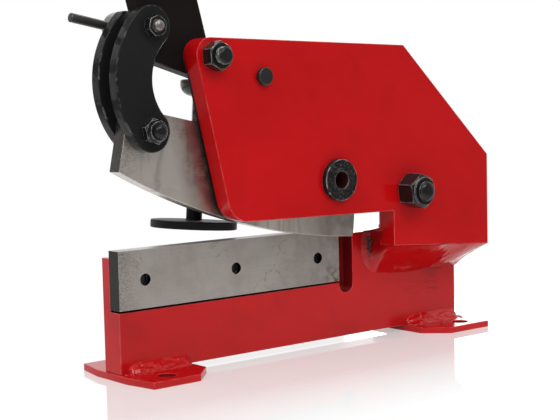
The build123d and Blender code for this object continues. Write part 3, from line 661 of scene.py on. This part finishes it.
def spun(rows, segments, place):
    # rows of (distance along the axis, radius or a function of the angle), closed at both ends
    rings = []
    for rise, radius in rows:
        ring = []
        for step in range(segments):
            angle = 2 * math.pi * step / segments
            reach = radius(angle) if callable(radius) else radius
            ring.append(place @ Vector((reach * math.cos(angle), reach * math.sin(angle), rise)))
        rings.append(ring)
    return closedStrip(rings)


def joined(parts):
    vertices = []
    faces = []
    for moreVertices, moreFaces in parts:
        offset = len(vertices)
        vertices += moreVertices
        faces += [tuple(index + offset for index in face) for face in moreFaces]
    return vertices, faces


def towardsFront(node):
    # from the middle of a part's back face, with Z to the front
    low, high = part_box(node)
    middle = (low + high) / 2
    back = Matrix.Translation((middle.x, high.y, middle.z))
    return back @ Matrix.Rotation(math.pi / 2, 4, "X"), high.y - low.y


def alongAxis(node, lean):
    # on the middle of a slanting part, with Z up along it
    low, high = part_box(node)
    return Matrix.Translation((low + high) / 2) @ Matrix.Rotation(math.radians(lean), 4, "Y")


threadForm = dict(stepsPerTurn=8, flank=1.25)


def threadRows(s, start, end):
    # rows of a screw thread, deep in the middle of its flanks, running out at both ends
    rows = []
    perTurn = threadForm["stepsPerTurn"]
    count = max(2, round((end - start) / s["pitch"] * perTurn))
    for step in range(count + 1):
        rise = start + (end - start) * step / count
        runOut = min(1.0, step / perTurn, (count - step) / perTurn)

        def reach(angle, rise=rise, runOut=runOut):
            share = (rise / s["pitch"] - angle / (2 * math.pi)) % 1.0
            dip = 1.0 - abs(2.0 * share - 1.0)
            return s["diameter"] / 2 - runOut * s["depth"] * min(1.0, threadForm["flank"] * dip)
        rows.append((rise, reach))
    return rows


def hexReach(flats, turn, limit):
    def reach(angle):
        part = (angle - turn + math.pi / 6) % (math.pi / 3) - math.pi / 6
        return min(flats / 2 / math.cos(part), limit)
    return reach


# sizes of a nut as shares of its flats, and of its collar as shares of the collar's height
nutForm = dict(
    sides=96, sharp=24.0, bevel=0.085, inner=0.485, outer=0.585, steps=4, ring=0.455, ringSteps=6,
    ringWall=0.35, ringIn=0.30, dish=0.15, dishRadius=0.36)


def nutRows(flats, turn, height, collar=0.0):
    # bevelled hexagon, with the round collar of a locking nut on top
    s = nutForm
    top = height - collar
    low = []
    high = []
    for step in range(s["steps"] + 1):
        share = step / s["steps"]
        limit = s["inner"] * flats + (s["outer"] - s["inner"]) * flats * math.sin(share * math.pi / 2)
        reach = hexReach(flats, turn, limit)
        low.append((s["bevel"] * flats * share, reach))
        high.insert(0, (top - s["bevel"] * flats * share, reach))
    rows = low + high
    if collar:
        for step in range(s["ringSteps"] + 1):
            turnIn = step / s["ringSteps"] * math.pi / 2
            rise = top + collar * (s["ringWall"] + (1 - s["ringWall"]) * math.sin(turnIn))
            rows.append((rise, s["ring"] * flats - s["ringIn"] * collar * (1 - math.cos(turnIn))))
        rows.append((height - s["dish"] * collar, s["dishRadius"] * flats))
    return rows


domeForm = dict(steps=7, whole=6.4, top=0.25)


def domeRows(start, diameter, height):
    rows = []
    for step in range(domeForm["steps"]):
        turnIn = step / domeForm["whole"] * math.pi / 2
        reach = domeForm["top"] + (1 - domeForm["top"]) * math.cos(turnIn)
        rows.append((start + height * math.sin(turnIn), diameter / 2 * reach))
    return rows


holdDownScrew = dict(
    diameter=0.0100, pitch=0.0015, depth=0.00085, lean=4.75, core=0.88, bevel=0.0008, sides=28)


def makeHoldDownScrew():
    s = holdDownScrew
    low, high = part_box("hold_down_screw")
    lean = math.radians(s["lean"])
    half = (high.z - low.z - s["diameter"] * math.sin(lean)) / math.cos(lean) / 2
    tip = s["core"] * s["diameter"] / 2
    rows = [(-half, tip), *threadRows(s, -half + s["bevel"], half - s["bevel"]), (half, tip)]
    shape = spun(rows, s["sides"], alongAxis("hold_down_screw", s["lean"]))
    piece = addPiece("threadedHoldDownScrew", shape, "blackOxide", "screw", sharp=60.0)
    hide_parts("hold_down_screw")


leverStud = dict(
    diameter=0.0120, pitch=0.00175, depth=0.0010, thread=0.0170, start=0.0002, bevel=0.0014,
    backBevel=0.0006, end=0.6, sides=40, flats=0.018, nutHeight=0.0100, turn=3.0)


def makeLeverStud():
    s = leverStud
    place, length = towardsFront("lever_pivot_stud")
    radius = s["diameter"] / 2
    plain = length - s["thread"]
    rows = [(0.0, radius - s["backBevel"]), (s["backBevel"], radius), (plain, radius)]
    rows += threadRows(s, plain + s["start"], length - s["bevel"])
    rows += [(length, radius - s["bevel"]), (length, s["end"] * radius)]
    shape = spun(rows, s["sides"], place)
    piece = addPiece("leverPivotStudThreaded", shape, "studBlack", "frame", sharp=50.0)
    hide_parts("lever_pivot_stud")
    rows = nutRows(s["flats"], math.radians(s["turn"]), s["nutHeight"])
    shape = spun(rows, nutForm["sides"], towardsFront("lever_pivot_nut")[0])
    piece = addPiece("leverPivotNutBevelled", shape, "blackOxide", "frame", nutForm["sharp"])
    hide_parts("lever_pivot_nut")


lockNuts = dict(
    bladePivot=dict(
        nut="blade_pivot_nut", bolt="blade_pivot_bolt", flats=0.024, turn=8.0, collar=0.0014,
        diameter=0.016, head=0.010, dome=0.0026, body="frame"),
    lowerLink=dict(
        nut="lower_link_nut", bolt="lower_link_bolt", flats=0.016, turn=12.0, collar=0.0030,
        diameter=0.010, head=0.0065, dome=0.0022, body="links"),
)
lockBoltEnd = dict(bevel=0.001, dome=0.93)


def makeLockNuts():
    for name, s in lockNuts.items():
        place, height = towardsFront(s["nut"])
        turn = math.radians(s["turn"])
        shape = spun(nutRows(s["flats"], turn, height, s["collar"]), nutForm["sides"], place)
        piece = addPiece(name + "LockNut", shape, "blackOxide", s["body"], nutForm["sharp"])
        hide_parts(s["nut"])
        place, length = towardsFront(s["bolt"])
        radius = s["diameter"] / 2
        shoulder = length - s["dome"]
        rows = nutRows(s["flats"], turn, s["head"])
        rows += [(s["head"], radius), (shoulder - lockBoltEnd["bevel"], radius)]
        rows += domeRows(shoulder, lockBoltEnd["dome"] * s["diameter"], s["dome"])
        shape = spun(rows, nutForm["sides"], place)
        piece = addPiece(name + "Bolt", shape, "blackOxide", s["body"], nutForm["sharp"])
        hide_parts(s["bolt"])


upperLinkBolt = dict(
    diameter=0.0080, dome=0.0024, domeShare=0.97, bevel=0.0006, frontBevel=0.0004, sides=48)


def makeUpperLinkBolt():
    s = upperLinkBolt
    place, length = towardsFront("upper_link_bolt")
    radius = s["diameter"] / 2
    shoulder = length - s["dome"]
    rows = [(0.0, radius - s["bevel"]), (s["bevel"], radius), (shoulder - s["frontBevel"], radius)]
    rows += domeRows(shoulder, s["domeShare"] * s["diameter"], s["dome"])
    piece = addPiece("upperLinkBoltDomed", spun(rows, s["sides"], place), "brightZinc", "links")
    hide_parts("upper_link_bolt")


gripRibs = dict(
    count=15, rib=0.0013, flange=0.0019, wall=0.0035, gap=0.0001, tube=0.032, lean=-14.7, length=0.129,
    sides=64, firstRib=0.010, lastRib=0.014,
    collar=((0.0, 0.0028), (0.0008, 0.0008), (0.0022, 0.0), (0.0062, 0.0), (0.0076, 0.0019)),
    profile=((-0.0026, 0.0), (-0.0015, 0.75), (0.0, 1.0), (0.0015, 0.75), (0.0026, 0.0)), capSteps=8,
    capLength=0.010, capStart=0.0006, capDrop=0.0095)


def makeGrip():
    s = gripRibs
    outer = s["tube"] / 2 + s["gap"] + s["wall"]
    half = s["length"] / 2
    rows = [(-half + rise, outer - drop) for rise, drop in s["collar"]]
    first = -half + s["firstRib"]
    last = half - s["lastRib"]
    for rib in range(s["count"]):
        middle = first + (last - first) * rib / (s["count"] - 1)
        for shift, rise in s["profile"]:
            rows.append((middle + shift, outer - s["flange"] + s["rib"] * rise))
    for step in range(s["capSteps"] + 1):
        turnIn = step / s["capSteps"] * math.pi / 2
        reach = outer - s["capStart"] - s["capDrop"] * (1 - math.cos(turnIn))
        rows.append((half - s["capLength"] + s["capLength"] * math.sin(turnIn), reach))
    shape = spun(rows, s["sides"], alongAxis("handle_grip", s["lean"]))
    piece = addPiece("ribbedGrip", shape, "gripRubber", "lever", sharp=50.0)
    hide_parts("handle_grip")


beadForm = dict(
    step=0.0007, fade=0.007, fadeShare=0.97, sway=0.16, swing=((70, 1.9), (60, 7.7)), sunk=0.0003,
    crown=0.03, across=10, rim=5, lumps=((0.15, 110, 4.0, 0), (0.08, 380, 6.0, 3)))


def weldBead(start, end, wall, shelf, leg, seed):
    # a drawn-out, slightly uneven fillet along a corner, from the wall round to the shelf
    s = beadForm
    start, end, wall, shelf = Vector(start), Vector(end), Vector(wall), Vector(shelf)
    length = (end - start).length
    steps = round(length / s["step"])
    outward = (wall + shelf).normalized()
    rings = []
    for step in range(steps + 1):
        run = length * step / steps
        middle = start.lerp(end, step / steps)
        fade = min(1.0, min(run, length - run) / s["fade"])
        size = leg * math.sqrt(1 - s["fadeShare"] * (1 - fade) ** 2)
        up, out = [size * (1 + s["sway"] * noise.noise(Vector((fine * run, seed, phase))))
                   for fine, phase in s["swing"]]
        ring = [middle - s["sunk"] * outward]
        for point in range(s["across"]):
            share = point / (s["across"] - 1)
            lift = size * s["crown"] * 4 * share * (1 - share)
            for rise, fine, wide, more in s["lumps"]:
                lift += rise * size * noise.noise(Vector((fine * run, wide * share, seed + more)))
            lift *= min(1.0, s["rim"] * share, s["rim"] * (1 - share))
            ring.append(middle + wall * up * (1 - share) + shelf * out * share + outward * lift)
        rings.append(ring)
    return closedStrip(rings)


dropForm = dict(
    stretch=(1.25, 0.85, 1.0, 1.0), sunk=0.0002, sides=14,
    rows=((0.15, 0.97), (0.42, 0.74), (0.58, 0.42), (0.64, 0.12)))


def spatter(at, size, turn):
    # a drop of weld metal frozen onto a flat top
    s = dropForm
    place = Matrix.Translation(at) @ Matrix.Rotation(turn, 4, "Z") @ Matrix.Diagonal(s["stretch"])
    rows = [(-s["sunk"], size)] + [(rise * size, reach * size) for rise, reach in s["rows"]]
    return spun(rows, s["sides"], place)


footBeads = dict(
    left=dict(
        leg=0.0072, seed=3.0, reach=(0.0005, 0.0012),
        drops=(
            (-0.1655, -0.0122, 0.0015), (-0.1640, -0.0143, 0.0011), (-0.1622, -0.0126, 0.0018),
            (-0.1612, -0.0151, 0.0013), (-0.1596, -0.0135, 0.0019), (-0.1585, -0.0168, 0.0012),
            (-0.1565, -0.0158, 0.0014), (-0.1545, -0.0188, 0.0011), (-0.1500, -0.0197, 0.0009))),
    right=dict(
        leg=0.0076, seed=8.0, reach=(0.0012, 0.0066),
        drops=((0.1615, -0.0185, 0.0010), (0.1635, -0.0150, 0.0016), (0.1648, -0.0122, 0.0012))),
)


def makeFootWelds():
    baseLow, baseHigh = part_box("rear_plate")
    for side, s in footBeads.items():
        low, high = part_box(side + "_foot_weld")
        left = low.x - s["reach"][0]
        right = high.x + s["reach"][1]
        parts = []
        for depth, out, more in ((baseLow.y, -1, 0.0), (baseHigh.y, 1, 1.6)):
            ends = (left, depth, low.z), (right, depth, low.z)
            parts.append(weldBead(*ends, (0, 0, 1), (0, out, 0), s["leg"], s["seed"] + more))
        for number, (x, y, size) in enumerate(s["drops"]):
            parts.append(spatter((x, y, low.z), size, number))
        piece = addPiece(side + "FootBeads", joined(parts), "weldPaint", "frame", sharp=70.0)
        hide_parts(side + "_foot_weld")


# each row: edge on the front plate, toe on the base, the corner behind them, and how hollow it is
skirtWeld = dict(
    rows=[
        ((0.0662, -0.0250, 0.0893), (0.0612, -0.0104, 0.0858), (0.0676, -0.0100, 0.0851), 0.55),
        ((0.0641, -0.0270, 0.0872), (0.0580, -0.0100, 0.0846), (0.0676, -0.0097, 0.0846), 0.60),
        ((0.0641, -0.0275, 0.0810), (0.0564, -0.0100, 0.0775), (0.0676, -0.0097, 0.0800), 0.62),
        ((0.0641, -0.0290, 0.0757), (0.0564, -0.0100, 0.0690), (0.0676, -0.0097, 0.0770), 0.62),
        ((0.0641, -0.0345, 0.0751), (0.0590, -0.0100, 0.0602), (0.0680, -0.0097, 0.0756), 0.55),
        ((0.0644, -0.0388, 0.0750), (0.0655, -0.0100, 0.0540), (0.0700, -0.0097, 0.0752), 0.45),
        ((0.0740, -0.0391, 0.0744), (0.0755, -0.0100, 0.0505), (0.0760, -0.0097, 0.0746), 0.38),
        ((0.0900, -0.0391, 0.0733), (0.0900, -0.0100, 0.0488), (0.0900, -0.0097, 0.0735), 0.40),
    ], end=((0.1718, -0.0391, 0.0681), (0.1622, -0.0100, 0.0480), (0.1622, -0.0097, 0.0690)),
    endRows=((0.20, 0.32), (0.40, 0.10), (0.58, -0.16), (0.72, -0.25), (0.86, -0.12), (1.00, 0.16)),
    perRow=16, across=22, pit=weldPitPaintedShade["at"], pitDepth=0.0014, pitReach=(0.0015, 0.0085),
    sway=(0.0011, 90, 2.7, 4), lumps=((0.0004, 75), (0.00025, 260)), crust=(0.0009, 520), rims=(7, 9),
    lip=0.0005, lipIn=(3, 0.9), lipAt=0.92, lipWidth=0.05)


def smoothWalk(points, share):
    # a smooth curve through all the points
    position = share * (len(points) - 1)
    index = min(int(position), len(points) - 2)
    part = position - index
    before, here = points[max(index - 1, 0)], points[index]
    ahead, after = points[index + 1], points[min(index + 2, len(points) - 1)]
    slope = ahead - before
    curve = 2 * before - 5 * here + 4 * ahead - after
    bend = 3 * (here - ahead) + after - before
    return here + 0.5 * part * (slope + part * (curve + part * bend))


def makeSkirtWeld():
    s = skirtWeld
    rows = [[Vector(point) for point in row[:3]] + [row[3]] for row in s["rows"]]
    last = [Vector(point) for point in s["end"]]
    corner = rows[-1]
    for share, hollow in s["endRows"]:
        rows.append([first.lerp(final, share) for first, final in zip(corner, last)] + [hollow])
    steps = s["perRow"] * (len(rows) - 1)
    pit = Vector(s["pit"])
    pitWide, pitHigh = s["pitReach"]
    sway, swayFine, swayPhase, swayIn = s["sway"]
    crust, crustFine = s["crust"]
    edgeRim, toeRim = s["rims"]
    lipRise, lipFrom = s["lipIn"]
    rings = []
    for step in range(steps + 1):
        share = step / steps
        edge, toe, inner, hollow = [smoothWalk([row[column] for row in rows], share) for column in range(4)]
        wander = noise.noise(Vector((toe.x * swayFine, toe.z * swayFine, swayPhase)))
        toe = toe + Vector((0, 0, sway * wander * min(1.0, swayIn * share)))
        middle = (edge + toe) / 2
        pull = middle + hollow * (inner - middle)
        outward = (middle - inner).normalized()
        lip = s["lip"] * min(1.0, max(0.0, lipRise * share - lipFrom))  # along the toe
        ring = [inner]
        for point in range(s["across"]):
            t = point / (s["across"] - 1)
            spot = (1 - t) ** 2 * edge + 2 * t * (1 - t) * pull + t * t * toe
            away = spot - pit
            dent = math.exp(-(away.x / pitWide) ** 2 - (away.z / pitHigh) ** 2)
            lift = sum(rise * noise.noise(spot * fine) for rise, fine in s["lumps"])
            lift += lip * math.exp(-((t - s["lipAt"]) / s["lipWidth"]) ** 2)
            lift += crust * dent * noise.noise(spot * crustFine)
            lift *= min(1.0, edgeRim * t, toeRim * (1 - t))
            ring.append(spot + outward * (lift - s["pitDepth"] * dent))
        rings.append(ring)
    piece = addPiece("skirtWeld", closedStrip(rings), "weldPaint", "frame", sharp=60.0)
    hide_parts("frame_weld")


bracketBeads = dict(leg=0.0042, bottomFrom=-0.0675, topFrom=-0.0760, seed=14.0)


def makeBracketWelds():
    # the hold-down bracket is welded to the back of the rear plate on three sides
    s = bracketBeads
    low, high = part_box("hold_down_bracket")
    plate = low.y
    lowCorner = (high.x, plate, low.z)
    highCorner = (high.x, plate, high.z)
    beads = []
    for start, end, shelf, more in ((lowCorner, highCorner, (1, 0, 0), 0),
                                    ((s["bottomFrom"], plate, low.z), lowCorner, (0, 0, -1), 2),
                                    ((s["topFrom"], plate, high.z), highCorner, (0, 0, 1), 5)):
        beads.append(weldBead(start, end, (0, 1, 0), shelf, s["leg"], s["seed"] + more))
    addPiece("bracketBeads", joined(beads), "redPaint", "frame", sharp=70.0)


makeHoldDownScrew()
makeLeverStud()
makeLockNuts()
makeUpperLinkBolt()
makeGrip()
makeFootWelds()
makeSkirtWeld()
makeBracketWelds()
print("pieces made")


# stage, light and camera

studio = dict(
    floorSize=3.0, floorTone=0.98, polish=2.0, mirrorBlur=0.045, fade=(0.34, 0.80),
    frontFade=(-0.090, -0.195), paleShadow=0.72, ambient=0.42, dimSide=0.36, brightWay=(0.55, 0.80, 0.25),
    brightSpan=(-0.12, 0.35), flagWay=(-0.77, 0.63, 0.0), flagSpan=(0.35, 0.50), flagSoft=0.02,
    flagDark=0.80, flags=((-0.62, -0.48), (-0.36, -0.22), (0.10, 0.24), (0.52, 0.70)))
white = (1.0, 1.0, 1.0)


def mixShaders(share, first, second):
    return fill(addNode(treeOf(share), "ShaderNodeMixShader"), {0: share, 1: first, 2: second})[0]


def makeFloor():
    s = studio
    half = s["floorSize"]
    mesh = bpy.data.meshes.new("studioFloor")
    corners = [(-half, -half, 0), (half, -half, 0), (half, half, 0), (-half, half, 0)]
    mesh.from_pydata(corners, [], [(0, 1, 2, 3)])
    floor = bpy.data.objects.new("studioFloor", mesh)
    scene.collection.objects.link(floor)
    material, tree = newFinish("paleFloor")[:2]
    tree.nodes.clear()
    here = placeIn(tree)
    path = addNode(tree, "ShaderNodeLightPath").outputs
    wide = remap(vectorMath("LENGTH", here)["Value"], *s["fade"])
    front = remap(axesOf(here)["Y"], *s["frontFade"])
    fade = maths("MAXIMUM", wide, times(front, path["Is Camera Ray"]))
    tone = s["floorTone"]
    diffuse = fill(addNode(tree, "ShaderNodeBsdfDiffuse"), {"Color": (tone, tone, tone)})[0]
    glossy = addNode(tree, "ShaderNodeBsdfGlossy")
    glossy = fill(glossy, {"Color": white, "Roughness": s["mirrorBlur"]})[0]
    # seen directly or in a mirror the floor is part white, which keeps its shadow pale
    seen = maths("MAXIMUM", path["Is Camera Ray"], path["Is Glossy Ray"])
    glow = addNode(tree, "ShaderNodeEmission").outputs[0]
    pale = mixShaders(times(seen, s["paleShadow"]), diffuse, glow)
    # polished sheet, so the mirror image is strongest at a low angle
    mirror = fill(addNode(tree, "ShaderNodeFresnel"), {"IOR": s["polish"]})[0]
    clear = addNode(tree, "ShaderNodeBsdfTransparent").outputs[0]
    whole = mixShaders(fade, mixShaders(mirror, pale, glossy), clear)
    fill(addNode(tree, "ShaderNodeOutputMaterial"), {"Surface": whole})
    mesh.materials.append(material)


def makeWorld():
    s = studio
    world = bpy.data.worlds.new("whiteStudio")
    scene.world = world
    world.use_nodes = True
    tree = world.node_tree
    tree.nodes.clear()
    path = addNode(tree, "ShaderNodeLightPath").outputs
    way = placeIn(tree, "Generated")
    # white behind the object, and a dimmer room on the camera's side for reflections
    bright = vectorMath("DOT_PRODUCT", way, s["brightWay"])["Value"]
    room = remap(bright, *s["brightSpan"], s["dimSide"], 1.0)
    # dark flags stand on the left, and show only in reflections
    left = vectorMath("DOT_PRODUCT", way, s["flagWay"])["Value"]
    height = axesOf(way)["Z"]
    flags = None
    for low, high in s["flags"]:
        below = remap(height, low - s["flagSoft"], low)
        strip = times(below, remap(height, high + s["flagSoft"], high))
        flags = strip if flags is None else maths("MAXIMUM", flags, strip)
    flags = times(flags, remap(left, *s["flagSpan"], 0.0, s["flagDark"]))
    room = times(room, maths("SUBTRACT", 1.0, flags))
    seen = maths("MAXIMUM", path["Is Camera Ray"], path["Is Transmission Ray"])
    seen = maths("MAXIMUM", seen, times(path["Is Glossy Ray"], room))
    plainRay = maths("SUBTRACT", 1.0, path["Is Glossy Ray"])
    strength = maths("MAXIMUM", seen, times(plainRay, s["ambient"]))
    back = fill(addNode(tree, "ShaderNodeBackground"), {"Color": white, "Strength": strength})[0]
    fill(addNode(tree, "ShaderNodeOutputWorld"), {"Surface": back})


lamps = dict(
    leftSoftbox=dict(at=(-1.32, -0.50, 1.22), aim=(-0.05, 0.0, 0.14), size=(0.8, 1.1), power=14.0),
    frontSoftbox=dict(at=(-0.10, -1.45, 1.40), aim=(0.02, 0.0, 0.14), size=(1.4, 0.9), power=18.0),
    topSoftbox=dict(at=(0.1, 0.35, 1.75), aim=(0.0, 0.0, 0.1), size=(1.6, 1.4), power=16.0),
    backStrip=dict(at=(1.25, 1.0, 0.8), aim=(0.05, 0.0, 0.15), size=(0.5, 1.2), power=6.0),
)


def makeLamps():
    for name, s in lamps.items():
        lamp = bpy.data.lights.new(name, "AREA")
        lamp.shape = "RECTANGLE"
        lamp.size, lamp.size_y = s["size"]
        lamp.energy = s["power"]
        holder = bpy.data.objects.new(name, lamp)
        holder.location = s["at"]
        holder.rotation_euler = (Vector(s["aim"]) - Vector(s["at"])).to_track_quat("-Z", "Y").to_euler()
        scene.collection.objects.link(holder)


photoCamera = dict(
    at=(-0.6259, -0.7415, 0.1854), turn=-39.38, down=4.68, roll=-1.35, lens=82.02, sensor=36.0,
    nearest=0.05)


def makeCamera():
    s = photoCamera
    data = bpy.data.cameras.new("photoCamera")
    data.sensor_width = s["sensor"]
    data.lens = s["lens"]
    data.clip_start = s["nearest"]
    camera = bpy.data.objects.new("photoCamera", data)
    turn = Matrix.Rotation(math.radians(s["turn"]), 4, "Z")
    tilt = Matrix.Rotation(math.radians(90 - s["down"]), 4, "X")
    roll = Matrix.Rotation(math.radians(s["roll"]), 4, "Z")
    camera.matrix_world = Matrix.Translation(s["at"]) @ turn @ tilt @ roll
    scene.collection.objects.link(camera)
    scene.camera = camera


makeFloor()
makeWorld()
makeLamps()
makeCamera()
print("stage ready")

bpy.context.view_layer.update()
